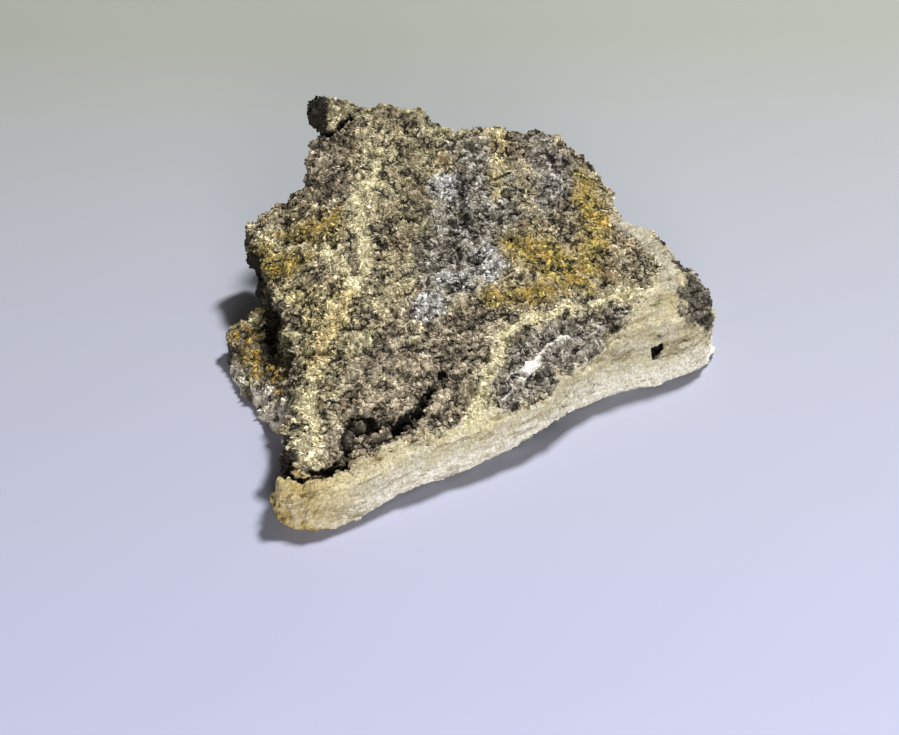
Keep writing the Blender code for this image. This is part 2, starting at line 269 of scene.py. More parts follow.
LEFT_THREAD = [
    (8.4, -15.3, 0.5),
    (7.0, -16.1, 0.1),
    (5.5, -17.0, 0.06),
    (5.2, -18.6, 0.08),
    (5.9, -19.5, 0.0),
]
LOW_THREAD = [(8.4, -15.6, 0.4), (7.4, -17.0, 0.08), (6.4, -17.9, 0.02)]
WHITE_SPOT = [(4.1, -21.0, 0.05), (4.7, -20.1, 0.2)]
PALE_LUMP = [
    (22.4, 13.2, 0.6),
    (24.7, 12.2, 1.7),
    (26.4, 9.9, 1.4),
    (28.6, 7.4, 1.2),
    (29.5, 5.4, 1.2),
    (29.4, 1.5, 1.4),
]
CRACKS = [
    (-25.6, -33.6, 0.9),
    (-24.0, -34.9, 0.5),
    (-22.6, -35.2, 0.3),
    (-20.5, -34.0, 0.3),
    (-18.5, -32.8, 0.3),
    (-16.9, -31.3, 0.2),
    (-17.0, -29.3, 0.1),
    (-17.6, -28.2, 0.2),
    (-16.7, -26.5, 0.35),
    (-15.9, -25.6, 0.4),
    (-13.8, -25.5, 0.2),
]
SIDE_CRACK = [
    (-14.0, -27.2, 0.0),
    (-12.0, -25.8, 0.2),
    (-10.7, -26.8, 0.4),
    (-9.8, -25.9, 0.3),
    (-7.8, -24.6, 0.2),
    (-6.6, -22.5, 0.3),
    (-5.7, -20.5, 0.3),
    (-4.8, -19.0, -0.2),
]
SEAM = [(-5.0, -18.0, -0.2), (-3.5, -16.7, -0.1), (-0.6, -13.9, -0.1), (1.5, -11.1, -0.3)]
FOLD = [(-12.8, -18.0, -0.2), (-9.8, -15.5, 0.0), (-7.6, -15.0, -0.2)]
PEAK_GROOVE = [(-23.8, 30.6, 0.3), (-21.6, 30.0, 0.4), (-19.6, 31.4, 0.4), (-18.0, 33.6, 0.3)]
MAUVE_BAND = [
    (-20.0, -31.5, 2.0),
    (-12.0, -25.5, 4.4),
    (-5.0, -19.5, 6.0),
    (-2.0, -13.0, 5.2),
    (6.0, -4.0, 3.0),
    (14.0, -1.5, 1.4),
]
LOW_MAUVE = [(-16.0, -20.0, 2.6), (-11.0, -14.0, 3.4), (-8.0, -5.0, 1.2)]
TOP_MAUVE = [(8.0, 31.0, 2.6), (12.0, 25.0, 4.6), (15.5, 20.0, 3.6), (10.5, 15.0, 1.6)]
LEFT_MAUVE = [(-21.0, 27.0, 3.0), (-20.0, 19.0, 3.2)]
DUSKY_TOP = [(-20.0, 35.2, 0.8), (-17.0, 35.0, 1.8), (-13.0, 34.4, 1.3), (-5.0, 32.2, 1.2)]
DUSKY_MIDDLE = [(-9.0, 26.5, 1.6), (-7.8, 18.0, 2.8), (-6.8, 11.0, 2.0), (-6.2, 4.0, 1.6)]
DUSKY_EDGE = [(17.0, 24.9, 1.4), (17.6, 18.4, 2.2), (17.0, 13.8, 1.8), (15.6, 9.6, 1.0)]
HOLE = [(26.3, -5.2, 0.5), (26.9, -5.9, 0.9), (27.2, -6.6, 0.4)]
GREEN_STREAK = [(27.6, -0.4, 0.2), (27.0, -3.0, 0.5)]

# Patches on knobs, ledges and walls: middle and radii in millimetres.
# The black knob at the peak is the stone's own colour. The patches in the slot and under the lobe
# on the left and at the front left corner are partly dark crust and partly painted shade.
BLACK_PLACES = [
    ((-23.2, 34.2, 24.2), (2.7, 7.0, 5.0)),
    ((-29.4, 2.2, 5.6), (1.5, 9.0, 4.6)),
    ((-33.0, 12.6, 7.4), (2.6, 5.6, 4.0)),
    ((-24.8, -32.4, 6.4), (1.9, 2.0, 2.4)),
]
SHELF_PLACES = [((-32.6, -2.6, 4.4), (3.6, 6.4, 2.2)), ((-28.4, -11.6, 4.6), (2.6, 5.0, 2.2))]
GREY_PLACES = [
    ((-30.2, -12.2, 1.8), (3.4, 5.0, 2.2)),
    ((-27.2, -19.5, 3.6), (2.8, 6.4, 4.4)),
    ((-34.2, -4.0, 1.2), (2.0, 5.0, 1.5)),
]
DARK_END = [
    ((33.4, -0.6, 10.4), (3.0, 5.6, 4.0)),
    ((29.8, 10.2, 12.6), (1.1, 2.6, 3.4)),
    ((31.8, 6.6, 11.6), (1.3, 2.6, 3.4)),
]
FROST_PLACES = [
    ((-3.4, 18.4, 19.3), (2.4, 3.2, 2.8)),
    ((2.9, 3.4, 15.0), (2.6, 4.0, 2.8)),
    ((-2.1, -0.4, 14.5), (3.0, 2.2, 2.8)),
    ((-5.8, -5.8, 13.7), (2.6, 3.0, 2.8)),
]

deselect_all()
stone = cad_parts["petrified_wood"].copy()
stone.data = stone.data.copy()
stone.name = "stone"
bpy.context.scene.collection.objects.link(stone)
stone.parent = None
stone.select_set(True)
bpy.context.view_layer.objects.active = stone
bpy.ops.object.mode_set(mode="EDIT")
bpy.ops.mesh.select_all(action="SELECT")
bpy.ops.mesh.remove_doubles(threshold=0.01 * MM)
bpy.ops.object.mode_set(mode="OBJECT")


def apply_modifier(piece, name, kind, **settings):
    """Add a modifier with these settings and apply it."""
    made = piece.modifiers.new(name, kind)
    for option, value in settings.items():
        setattr(made, option, value)
    bpy.context.view_layer.objects.active = piece
    bpy.ops.object.modifier_apply(modifier=name)


apply_modifier(stone, "Even skin", "REMESH", mode="VOXEL", voxel_size=VOXEL)


def corners(piece):
    """Every vertex of a piece, and the way its surface faces there, in millimetres."""
    count = len(piece.data.vertices)
    places = np.empty(count * 3)
    facing = np.empty(count * 3)
    piece.data.vertices.foreach_get("co", places)
    piece.data.vertices.foreach_get("normal", facing)
    return places.reshape(-1, 3) / MM, facing.reshape(-1, 3)


def beside_step(places, here, after):
    """Each place's share along one step of a path, its distance from it, and its side."""
    start = np.array(here[:2])
    step = np.array(after[:2]) - start
    away = places[:, :2] - start
    along = np.clip(away @ step / (step @ step), 0.0, 1.0)
    gap = np.linalg.norm(away - along[:, None] * step, axis=1)
    side = np.sign(away[:, 0] * step[1] - away[:, 1] * step[0])
    return along, gap, side


def inside_path(places, path):
    """Millimetres inside a band, seen from above: negative outside it."""
    best = np.full(len(places), -1000.0)
    for here, after in zip(path, path[1:]):
        along, gap, _ = beside_step(places, here, after)
        best = np.maximum(best, here[2] + along * (after[2] - here[2]) - gap)
    return best


def right_of_line(places, line):
    """Millimetres to the right of a line, seen from above: negative to its left."""
    nearest = np.full(len(places), 1000.0)
    signed = np.full(len(places), -1000.0)
    for here, after in zip(line, line[1:]):
        _, gap, side = beside_step(places, here, after)
        closer = gap < nearest
        nearest = np.where(closer, gap, nearest)
        signed = np.where(closer, gap * side, signed)
    return signed


def inside_ball(places, middle, radii):
    """1 at the middle of a stretched ball, 0 on its skin and negative outside."""
    return 1.0 - np.linalg.norm((places - middle) / radii, axis=1)


def soft_step(low, high, values):
    """0 below low, 1 above high, and a smooth change between them."""
    share = np.clip((values - low) / (high - low), 0.0, 1.0)
    return share * share * (3.0 - 2.0 * share)


def paint(piece, name, values):
    """Keep one number for each vertex, for the materials and the crystals to read."""
    kept = piece.data.attributes.new(name, "FLOAT", "POINT")
    kept.data.foreach_set("value", values.astype(np.float32))


def weigh(piece, name, values):
    """Keep one share from 0 to 1 for each vertex, for the modifiers to read."""
    group = piece.vertex_groups.new(name=name)
    shares = np.round(np.clip(values, 0.0, 1.0) * WEIGHT_STEPS).astype(int)
    for step in range(1, WEIGHT_STEPS + 1):
        group.add(np.flatnonzero(shares == step).tolist(), step / WEIGHT_STEPS, "REPLACE")


def waves(places, size, seed=0.0):
    """Smooth noise at every place, about -0.7 to 0.7, with patches of this size."""
    return np.array([noise_at(Vector(spot) / size + Vector((seed, 0.0, 0.0))) for spot in places])


# Heights in millimetres above the floor: where the crack, the groove at the peak and the
# small hole lie. A band is pushed far outside itself on the hidden underside.
UNDERSIDE_HEIGHT = 0.35
CRACK_FLOOR = 3.5
PEAK_FOOT = 20.5
HOLE_HEIGHT = 6.8
HOLE_HALF_HEIGHT = 1.3
FAR_OUTSIDE = 20.0
places, facing = corners(stone)
height = places[:, 2]
up = soft_step(0.30, 0.62, facing[:, 2])
rind = right_of_line(places, RIND_EDGE) + 2.0 * waves(places, 3.0) + 1.5 * waves(places, 1.1)
rim_depth = soft_step(0.55, 0.15, facing[:, 2])
near_edge = soft_step(-3.0, -1.0, rind) * rim_depth
lump = soft_step(-0.4, 0.4, inside_path(places, PALE_LUMP) + 0.5 * waves(places, 1.3))
is_rind = np.maximum.reduce([soft_step(-0.6, 0.6, rind), near_edge, lump])
ground = soft_step(UNDERSIDE_HEIGHT, 0.1, height)
crust = up * (1.0 - is_rind)
broken = (1.0 - up) * (1.0 - is_rind)
cracks = [
    np.minimum(inside_path(places, CRACKS), height - CRACK_FLOOR),
    np.minimum(inside_path(places, PEAK_GROOVE), height - PEAK_FOOT),
    np.minimum(inside_path(places, HOLE), HOLE_HALF_HEIGHT - abs(height - HOLE_HEIGHT)),
]
thin_lines = (
    (PURPLE_STREAK, 0.6),
    (CROSS_STREAK, 0.5),
    (LEFT_STREAK, 0.4),
    (SIDE_CRACK, 0.0),
    (SEAM, 0.0),
    (FOLD, 0.0),
)
for line, narrower in thin_lines:
    cracks.append(inside_path(places, line) - narrower)
under = FAR_OUTSIDE * soft_step(0.0, -0.6, facing[:, 2])
cracks = np.maximum.reduce(cracks) + 0.55 * waves(places, 1.3) + 0.5 * waves(places, 0.6)
cracks -= under
low_fade = soft_step(0.5, 3.0, height)
weigh(stone, "crack skin", soft_step(-0.4, 0.5, cracks))
weigh(stone, "crust skin", crust * low_fade)
weigh(stone, "rind skin", is_rind * (1.0 - ground))
weigh(stone, "broken skin", broken * low_fade)

bpy.ops.object.empty_add(rotation=(0.0, 0.0, GRAIN_TURN))
grain_guide = bpy.context.object
grain_guide.scale = (GRAIN_STRETCH, 1.0, 1.0)
bpy.context.view_layer.update()


def roughen(name, group, kind, size, relief, stretched=False, **settings):
    """Raise a part of the stone's skin by a noise texture, along the wood's grain or not."""
    texture = bpy.data.textures.new(name, kind)
    texture.noise_scale = size
    for option, value in settings.items():
        setattr(texture, option, value)
    apply_modifier(
        stone,
        name,
        "DISPLACE",
        texture=texture,
        texture_coords="OBJECT" if stretched else "LOCAL",
        texture_coords_object=grain_guide if stretched else None,
        vertex_group=group,
        strength=relief,
        mid_level=0.5,
    )


# The places before the relief is raised are kept: the relief and the bands start from them.
CRACK_DEPTH = 1.3 * MM
level = places
roughen("Crust lumps", "crust skin", "CLOUDS", 1.9 * MM, 1.5 * MM, noise_depth=1)
roughen("Crust knobs", "crust skin", "VORONOI", 1.5 * MM, -0.3 * MM)
roughen("Crust grains", "crust skin", "CLOUDS", 0.6 * MM, 0.35 * MM, noise_depth=1)
roughen("Rind waves", "rind skin", "CLOUDS", 2.6 * MM, 0.6 * MM)
roughen("Rind ledges", "rind skin", "CLOUDS", 1.6 * MM, -1.5 * MM, True, noise_type="HARD_NOISE")
roughen("Rind grain", "rind skin", "CLOUDS", 0.8 * MM, 0.4 * MM, noise_depth=1)
roughen("Broken steps", "broken skin", "CLOUDS", 2.4 * MM, 0.9 * MM, noise_type="HARD_NOISE")
roughen("Broken fibres", "broken skin", "CLOUDS", 0.7 * MM, 0.6 * MM, True, noise_depth=2)
bpy.data.objects.remove(grain_guide)
apply_modifier(
    stone,
    "Open cracks",
    "DISPLACE",
    vertex_group="crack skin",
    strength=-CRACK_DEPTH,
    mid_level=0.0,
)

places, _ = corners(stone)
rise = ((places - level) * facing).sum(axis=1)
places[:, 2] = np.maximum(places[:, 2], 0.0)
stone.data.vertices.foreach_set("co", (places * MM).ravel())

paint(stone, "rind", np.maximum(rind, 6.0 * near_edge - 3.0))
paint(stone, "rise", rise)
paint(stone, "crust", crust)
paint(stone, "broken", broken)
bands = {
    "cream_vein": (MAIN_VEIN, LOBE_VEIN, OVAL_VEIN),
    "yellow_vein": (YELLOW_VEIN, BUFF_BAND, BUFF_CORNER),
    "ochre": (OCHRE_BAND, EDGE_OCHRE, LOW_OCHRE, LOBE_OCHRE),
    "vein_ochre": (VEIN_OCHRE,),
    "blue": (BLUE_BAND, TOP_GREY),
    "purple": (PURPLE_STREAK, CROSS_STREAK, LEFT_STREAK),
    "oval": (OVAL,),
    "white": (WHITE_KNOB, UP_THREAD, LEFT_THREAD, LOW_THREAD, WHITE_SPOT),
    "pale": (PALE_LUMP,),
    "green": (GREEN_STREAK,),
    "mauve": (MAUVE_BAND, LOW_MAUVE, TOP_MAUVE, LEFT_MAUVE),
    "dusky": (DUSKY_TOP, DUSKY_MIDDLE, DUSKY_EDGE),
}
inside = {}

# Each band wanders by up to half a millimetre, so that its edge isn't a drawn line.
WANDER = 0.7
wander = WANDER * np.column_stack([waves(level, 2.4, 11.0), waves(level, 2.4, 17.0), 0.0 * rise])
for name, paths in bands.items():
    inside[name] = np.maximum.reduce([inside_path(level + wander, path) for path in paths])
    inside[name] -= under
    paint(stone, name, inside[name])
patches = {
    "black": BLACK_PLACES,
    "shelf": SHELF_PLACES,
    "grey": GREY_PLACES,
    "dark_end": DARK_END,
    "frost": FROST_PLACES,
}
BALL_SCALE = 2.0
for name, balls in patches.items():
    inside[name] = BALL_SCALE * np.maximum.reduce([inside_ball(level, *ball) for ball in balls])
    paint(stone, name, inside[name])
paint(stone, "crack", cracks)

# Where each kind of crystal grows, as shares: on the high parts of the crust, never in a
# crack, and only as fine sand along the veins, on the rind and on the pale lump.
off_floor = soft_step(0.6, 1.5, height)
clear = soft_step(0.1, -0.4, cracks) * (1.0 - 0.5 * soft_step(0.2, 0.9, inside["black"]))
sandy = soft_step(-0.4, 0.4, inside["cream_vein"] + 0.8 * waves(level, 1.4, 9.0))
white = soft_step(-0.2, 0.0, inside["white"] + 0.15 * waves(level, 0.7, 4.0))
high = soft_step(-0.75, 0.1, rise)
rough = np.maximum(crust, soft_step(0.0, 0.5, inside["dark_end"]))
rough *= clear * (1.0 - white) * off_floor
patchy = soft_step(-0.3, 0.25, waves(level, 3.1, 2.0))
paint(stone, "plates", rough * high * (1.0 - 0.8 * sandy) * (0.5 + 0.5 * patchy))
paint(stone, "slivers", rough * high * (1.0 - 0.5 * patchy) * (1.0 - 0.7 * sandy))
studs = 0.5 * broken + 0.5 * soft_step(0.0, 0.4, inside["grey"])
paint(stone, "grains", np.maximum(rough * (1.0 - 0.5 * sandy), studs * off_floor * clear))
paint(stone, "blocks", crust * soft_step(-5.0, -2.0, cracks) * (0.45 + 0.55 * clear) * off_floor)
paint(stone, "sand", is_rind * off_floor * clear)
paint(stone, "vein_sand", crust * sandy * clear * (1.0 - white) * off_floor)
paint(stone, "white_sand", white * crust)


def blend(tree, share, base, over, mode="MIX"):
    """Mix one colour over another by a share from 0 to 1."""
    feeds = {0: share, 6: base, 7: over}
    made = add_node(tree, "ShaderNodeMix", feeds, data_type="RGBA", blend_type=mode)
    return made.outputs[2]


def sums(tree, operation, first, second=0.0, third=0.0):
    """One arithmetic step."""
    feeds = {0: first, 1: second, 2: third}
    return add_node(tree, "ShaderNodeMath", feeds, operation=operation).outputs[0]


def ramped(tree, value, low, high, start=0.0, end=1.0):
    """A smooth change from start to end while the value goes from low to high."""
    feeds = {0: value, 1: low, 2: high, 3: start, 4: end}
    made = add_node(tree, "ShaderNodeMapRange", feeds, interpolation_type="SMOOTHSTEP")
    return made.outputs[0]


def noise(tree, place, size, detail=2.0, rough=0.5, twist=0.0):
    """Soft noise with patches of this size, from 0 to 1."""
    feeds = {"Vector": place, "Scale": 1.0 / size, "Detail": detail, "Roughness": rough}
    feeds["Distortion"] = twist
    return add_node(tree, "ShaderNodeTexNoise", feeds).outputs["Fac"]


def along_grain(tree, place, stretch):
    """Coordinates squeezed along the wood's grain, so that a pattern runs with it."""
    feeds = {"Vector": place, "Rotation": (0.0, 0.0, -GRAIN_TURN)}
    turned = add_node(tree, "ShaderNodeMapping", feeds).outputs[0]
    feeds = {"Vector": turned, "Scale": (1.0 / stretch, 1.0, 1.0)}
    return add_node(tree, "ShaderNodeMapping", feeds).outputs[0]


def new_group(name, inputs, outputs):
    """An empty shader group with these sockets, and the ends of its inside."""
    tree = bpy.data.node_groups.new(name, "ShaderNodeTree")
    for socket, kind in inputs.items():
        tree.interface.new_socket(socket, in_out="INPUT", socket_type=kind)
    for socket, kind in outputs.items():
        tree.interface.new_socket(socket, in_out="OUTPUT", socket_type=kind)
    start = tree.nodes.new("NodeGroupInput")
    end = tree.nodes.new("NodeGroupOutput")
    return tree, start.outputs, end.inputs


# Colours of the crust, the streaks and veins, the broken sides, and the rind.
BROWN_CRUST = (0.50, 0.44, 0.295, 1.0)
OLIVE_CRUST = (0.52, 0.485, 0.315, 1.0)
MAUVE_CRUST = (0.255, 0.215, 0.165, 1.0)
STRIP_CRUST = (0.54, 0.475, 0.38, 1.0)
TAN_CRUST = (0.55, 0.51, 0.375, 1.0)
DUSKY_TINT = (0.58, 0.57, 0.56, 1.0)
LILAC_CRUST = (0.415, 0.42, 0.435, 1.0)
FROST_CRUST = (0.585, 0.595, 0.62, 1.0)
PURPLE_CRUST = (0.095, 0.085, 0.086, 1.0)
STREAK_BLACK = (0.05, 0.044, 0.044, 1.0)
OVAL_CRUST = (0.42, 0.395, 0.37, 1.0)
OCHRE_CRUST = (0.44, 0.29, 0.04, 1.0)
MUSTARD_CRUST = (0.45, 0.365, 0.10, 1.0)
CREAM_VEIN = (0.81, 0.76, 0.53, 1.0)
YELLOW_VEIN_COLOUR = (0.68, 0.60, 0.34, 1.0)
VEIN_BUFF = (0.80, 0.67, 0.37, 1.0)
WHITE_QUARTZ = (0.92, 0.90, 0.84, 1.0)
STAINED_CRUST = (0.168, 0.155, 0.136, 1.0)
RUST_CRUST = (0.36, 0.22, 0.12, 1.0)
# Black crust, also painted as shade in the cracks, the recesses and the gaps of the crust.
BLACK_CRUST_AND_SHADE = (0.021, 0.017, 0.011, 1.0)
GREEN_FILM = (0.20, 0.20, 0.10, 1.0)
BROKEN_WOOD = (0.085, 0.072, 0.058, 1.0)
BROKEN_GREY = (0.20, 0.18, 0.15, 1.0)
GREY_WALL = (0.85, 0.80, 0.71, 1.0)
RIND_CREAM = (0.55, 0.50, 0.335, 1.0)
RIND_PALE = (0.60, 0.57, 0.46, 1.0)
RIND_WHITE = (0.86, 0.845, 0.80, 1.0)
RIND_TAN = (0.47, 0.365, 0.145, 1.0)
RIND_DARKER = (0.44, 0.39, 0.27, 1.0)
LUMP_GREY = (0.49, 0.465, 0.385, 1.0)

# The colour of every zone of the stone, read from the bands kept on the skin. Each edge
# is broken up by noise, so that no band ends in a clean line.
zones, given, result = new_group(
    "zones of the stone",
    {"Place": "NodeSocketVector"},
    {"Colour": "NodeSocketColor", "Crust": "NodeSocketFloat"},
)
spot = given["Place"]
wobble = sums(zones, "SUBTRACT", noise(zones, spot, 2.6 * MM, detail=4.0, rough=0.65), 0.5)
broad = noise(zones, spot, 9.0 * MM)
patch = noise(zones, spot, 3.0 * MM, detail=3.0, rough=0.6, twist=0.6)
fine = noise(zones, spot, 1.1 * MM, rough=0.6, twist=0.4)


def kept(tree, name):
    """One of the numbers kept on the skin."""
    return add_node(tree, "ShaderNodeAttribute", attribute_name=name).outputs["Fac"]


def zone(name, low, high, ragged, most=1.0):
    """A share that rises to its most from low to high millimetres inside a band."""
    moved = sums(zones, "MULTIPLY_ADD", wobble, ragged, kept(zones, name))
    return ramped(zones, moved, low, high, end=most)


# The crust: brown and olive, with patches of mauve, rust and tan, and the bands over it.
colour = blend(zones, ramped(zones, broad, 0.42, 0.60), BROWN_CRUST, OLIVE_CRUST)
colour = blend(zones, ramped(zones, patch, 0.50, 0.62, end=0.9), colour, MAUVE_CRUST)
rust = noise(zones, spot, 4.5 * MM, detail=3.0, rough=0.6, twist=0.5)
colour = blend(zones, ramped(zones, rust, 0.54, 0.66, end=0.6), colour, RUST_CRUST)
colour = blend(zones, ramped(zones, fine, 0.50, 0.66, end=0.8), colour, TAN_CRUST)
lilac = blend(zones, ramped(zones, fine, 0.46, 0.58), LILAC_CRUST, STREAK_BLACK)
mauve = blend(zones, ramped(zones, patch, 0.42, 0.56), STRIP_CRUST, MAUVE_CRUST)
colour = blend(zones, zone("mauve", -2.0, 2.0, ragged=7.0, most=0.85), colour, mauve)
dusky = zone("dusky", -1.5, 1.5, ragged=5.0, most=0.9)
colour = blend(zones, dusky, colour, DUSKY_TINT, "MULTIPLY")
colour = blend(zones, zone("blue", -2.0, 2.5, ragged=8.0, most=0.7), colour, lilac)
frost = blend(zones, ramped(zones, fine, 0.50, 0.66), FROST_CRUST, PURPLE_CRUST)
colour = blend(zones, zone("frost", -0.3, 0.5, ragged=2.4, most=0.85), colour, frost)
colour = blend(zones, zone("purple", -0.7, 0.7, ragged=3.0, most=0.9), colour, STREAK_BLACK)
ochre = blend(zones, ramped(zones, patch, 0.36, 0.52), OCHRE_CRUST, MUSTARD_CRUST)
ochre = blend(zones, ramped(zones, fine, 0.52, 0.66, end=0.75), ochre, OLIVE_CRUST)
colour = blend(zones, zone("ochre", -2.1, 1.0, ragged=6.5, most=0.9), colour, ochre)
druse = blend(zones, ramped(zones, fine, 0.48, 0.64), OVAL_CRUST, PURPLE_CRUST)
colour = blend(zones, zone("oval", -0.6, 0.6, ragged=3.0, most=0.9), colour, druse)

# The veins, each with a softer tan edge, and the dark splinters of the broken sides.
colour = blend(zones, zone("cream_vein", -4.0, -0.5, ragged=4.0, most=0.35), colour, TAN_CRUST)
yellow = zone("yellow_vein", -1.2, 0.8, ragged=3.0, most=0.85)
colour = blend(zones, yellow, colour, YELLOW_VEIN_COLOUR)
vein = zone("cream_vein", -0.7, 0.1, ragged=1.4, most=0.95)
buff = zone("vein_ochre", -0.8, 0.8, ragged=3.0, most=0.9)
vein_colour = blend(zones, buff, CREAM_VEIN, VEIN_BUFF)
colour = blend(zones, vein, colour, vein_colour)
splinters = blend(zones, ramped(zones, patch, 0.45, 0.62), BROKEN_WOOD, BROKEN_GREY)
colour = blend(zones, ramped(zones, kept(zones, "broken"), 0.05, 0.5), colour, splinters)

# The rind: cream, whiter low down, darker along its upper edge and tan at its left end.
where = add_node(zones, "ShaderNodeSeparateXYZ", {0: spot})
cream = blend(zones, ramped(zones, patch, 0.38, 0.60), RIND_CREAM, RIND_PALE)
low = sums(zones, "MULTIPLY_ADD", wobble, 6.0 * MM, where.outputs["Z"])
cream = blend(zones, ramped(zones, low, 6.5 * MM, 2.0 * MM, end=0.8), cream, RIND_WHITE)
left = sums(zones, "MULTIPLY_ADD", wobble, 14.0 * MM, where.outputs["X"])
darker_top = ramped(zones, where.outputs["Z"], 7.5 * MM, 10.5 * MM, end=0.45)
cream = blend(zones, darker_top, cream, RIND_DARKER)
tan = ramped(zones, left, -11.0 * MM, -24.0 * MM)
tan = sums(zones, "MULTIPLY", tan, ramped(zones, patch, 0.36, 0.56, start=0.55))
cream = blend(zones, tan, cream, RIND_TAN)
cream = blend(zones, ramped(zones, fine, 0.54, 0.70, end=0.5), cream, RIND_DARKER)
# Painted shade: the rind is darkened in the low clefts of its relief.
cleft_shade = ramped(zones, kept(zones, "rise"), -0.55, -0.05, start=0.4)
cream = blend(zones, 1.0, cream, cleft_shade, "MULTIPLY")
wisps = noise(zones, along_grain(zones, spot, 6.0), 0.5 * MM, detail=3.0)
wisps = sums(zones, "SUBTRACT", wisps, 0.5)
edge = sums(zones, "MULTIPLY_ADD", wobble, 4.0, kept(zones, "rind"))
edge = sums(zones, "MULTIPLY_ADD", wisps, 9.0, edge)
colour = blend(zones, ramped(zones, edge, -1.0, 0.8), colour, cream)

# The pale lump, the film in the hole, the dark right end, the shelf and the left walls, then
# black: the stone's own black crust, with painted shade in the recesses on the left and in the
# cracks.
colour = blend(zones, zone("pale", -0.6, 0.6, ragged=1.5), colour, LUMP_GREY)
colour = blend(zones, zone("green", -0.3, 0.3, ragged=0.8, most=0.8), colour, GREEN_FILM)
end = blend(zones, ramped(zones, fine, 0.42, 0.56), STAINED_CRUST, BLACK_CRUST_AND_SHADE)
colour = blend(zones, zone("dark_end", -0.4, 0.6, ragged=7.0, most=0.95), colour, end)
shelf = blend(zones, ramped(zones, fine, 0.45, 0.59), OCHRE_CRUST, STAINED_CRUST)
colour = blend(zones, zone("shelf", -0.4, 0.8, ragged=4.0, most=0.9), colour, shelf)
colour = blend(zones, zone("grey", -0.3, 0.5, ragged=2.0), colour, GREY_WALL)
colour = blend(zones, zone("black", -0.3, 0.5, ragged=3.0), colour, BLACK_CRUST_AND_SHADE)
# Black inside the cracks, seams and streaks: the streaks' own colour, and painted shade deep in the
# cracks, the groove at the peak and the small hole.
colour = blend(zones, zone("crack", -0.35, 0.15, ragged=1.0), colour, BLACK_CRUST_AND_SHADE)

# Painted shade: hollows of the relief are darkened, and thin black lines of painted shade run
# round some of the lumps of the crust, where the gaps between them would lie in shadow.
hollow_shade = ramped(zones, kept(zones, "rise"), -0.8, 0.0, start=0.16)
off_vein = ramped(zones, vein, 0.0, 1.0, start=1.0, end=0.35)
colour = blend(zones, off_vein, colour, hollow_shade, "MULTIPLY")
bent = noise(zones, spot, 1.6 * MM, rough=0.6)
bent = add_node(zones, "ShaderNodeCombineXYZ", {0: bent, 1: fine, 2: bent}).outputs[0]
bent = add_node(zones, "ShaderNodeVectorMath", {0: bent, 3: 1.8 * MM}, operation="SCALE").outputs[0]
bent = add_node(zones, "ShaderNodeVectorMath", {0: spot, 1: bent}, operation="ADD").outputs[0]
feeds = {"Vector": bent, "Scale": 1.0 / (1.5 * MM)}
cells = add_node(zones, "ShaderNodeTexVoronoi", feeds, feature="DISTANCE_TO_EDGE")
# Painted shade: black lines along the cell edges, on the crust only and faint on the veins.
gap = ramped(zones, cells.outputs["Distance"], 0.04, 0.20, start=1.0, end=0.0)
gap = sums(zones, "MULTIPLY", gap, ramped(zones, patch, 0.44, 0.54))
gap = sums(zones, "MULTIPLY", gap, ramped(zones, fine, 0.38, 0.50))
gap = sums(zones, "MULTIPLY", gap, kept(zones, "crust"))
gap = sums(zones, "MULTIPLY", gap, ramped(zones, vein, 0.0, 1.0, start=1.0, end=0.25))
colour = blend(zones, gap, colour, BLACK_CRUST_AND_SHADE)
colour = blend(zones, zone("white", -0.2, 0.05, ragged=0.3), colour, WHITE_QUARTZ)
zones.links.new(colour, result["Colour"])
zones.links.new(kept(zones, "crust"), result["Crust"])

# The stone's own skin: pits between the grains of the crust, and fibres and open clefts
# along the grain of the rind. Each tint darkens or lightens the colour of its zone: pits,
# furrows and clefts are painted darker where the bump sinks, as painted shade, and the
# tops of the grains a little lighter, as painted light.
CRUST_PIT_SHADE = (0.38, 0.35, 0.28, 1.0)
CRUST_TOPS = (1.1, 1.1, 1.1, 1.0)
RIND_FURROW_SHADE = (0.68, 0.62, 0.50, 1.0)
RIND_FIBRES = (1.1, 1.1, 1.08, 1.0)
RIND_CLEFT_SHADE = (0.60, 0.55, 0.45, 1.0)
STONE_ROUGHNESS = 0.75
BUMP_STRENGTH = 0.8
BUMP_DEPTH = 0.3 * MM
stone_material, tree, surface, place = new_material("silicified wood")
zone_node = add_node(tree, "ShaderNodeGroup", {"Place": place}, node_tree=zones)
streaks = noise(tree, along_grain(tree, place, 7.0), 0.5 * MM, detail=3.0, rough=0.65)
specks = noise(tree, place, 0.4 * MM, detail=3.0, rough=0.7)
# Painted shade in the pits of the crust, and a slight painted light on its tops.
pit_shade = blend(tree, ramped(tree, specks, 0.40, 0.66), CRUST_PIT_SHADE, CRUST_TOPS)
crusty = blend(tree, 1.0, zone_node.outputs["Colour"], pit_shade, "MULTIPLY")
# The fibres' own streaks, with painted shade in the furrows between them.
streaked = sums(tree, "MULTIPLY_ADD", specks, 0.9, sums(tree, "MULTIPLY", streaks, 0.3))
streaked = ramped(tree, streaked, 0.46, 0.74)
streaked = blend(tree, streaked, RIND_FURROW_SHADE, RIND_FIBRES)
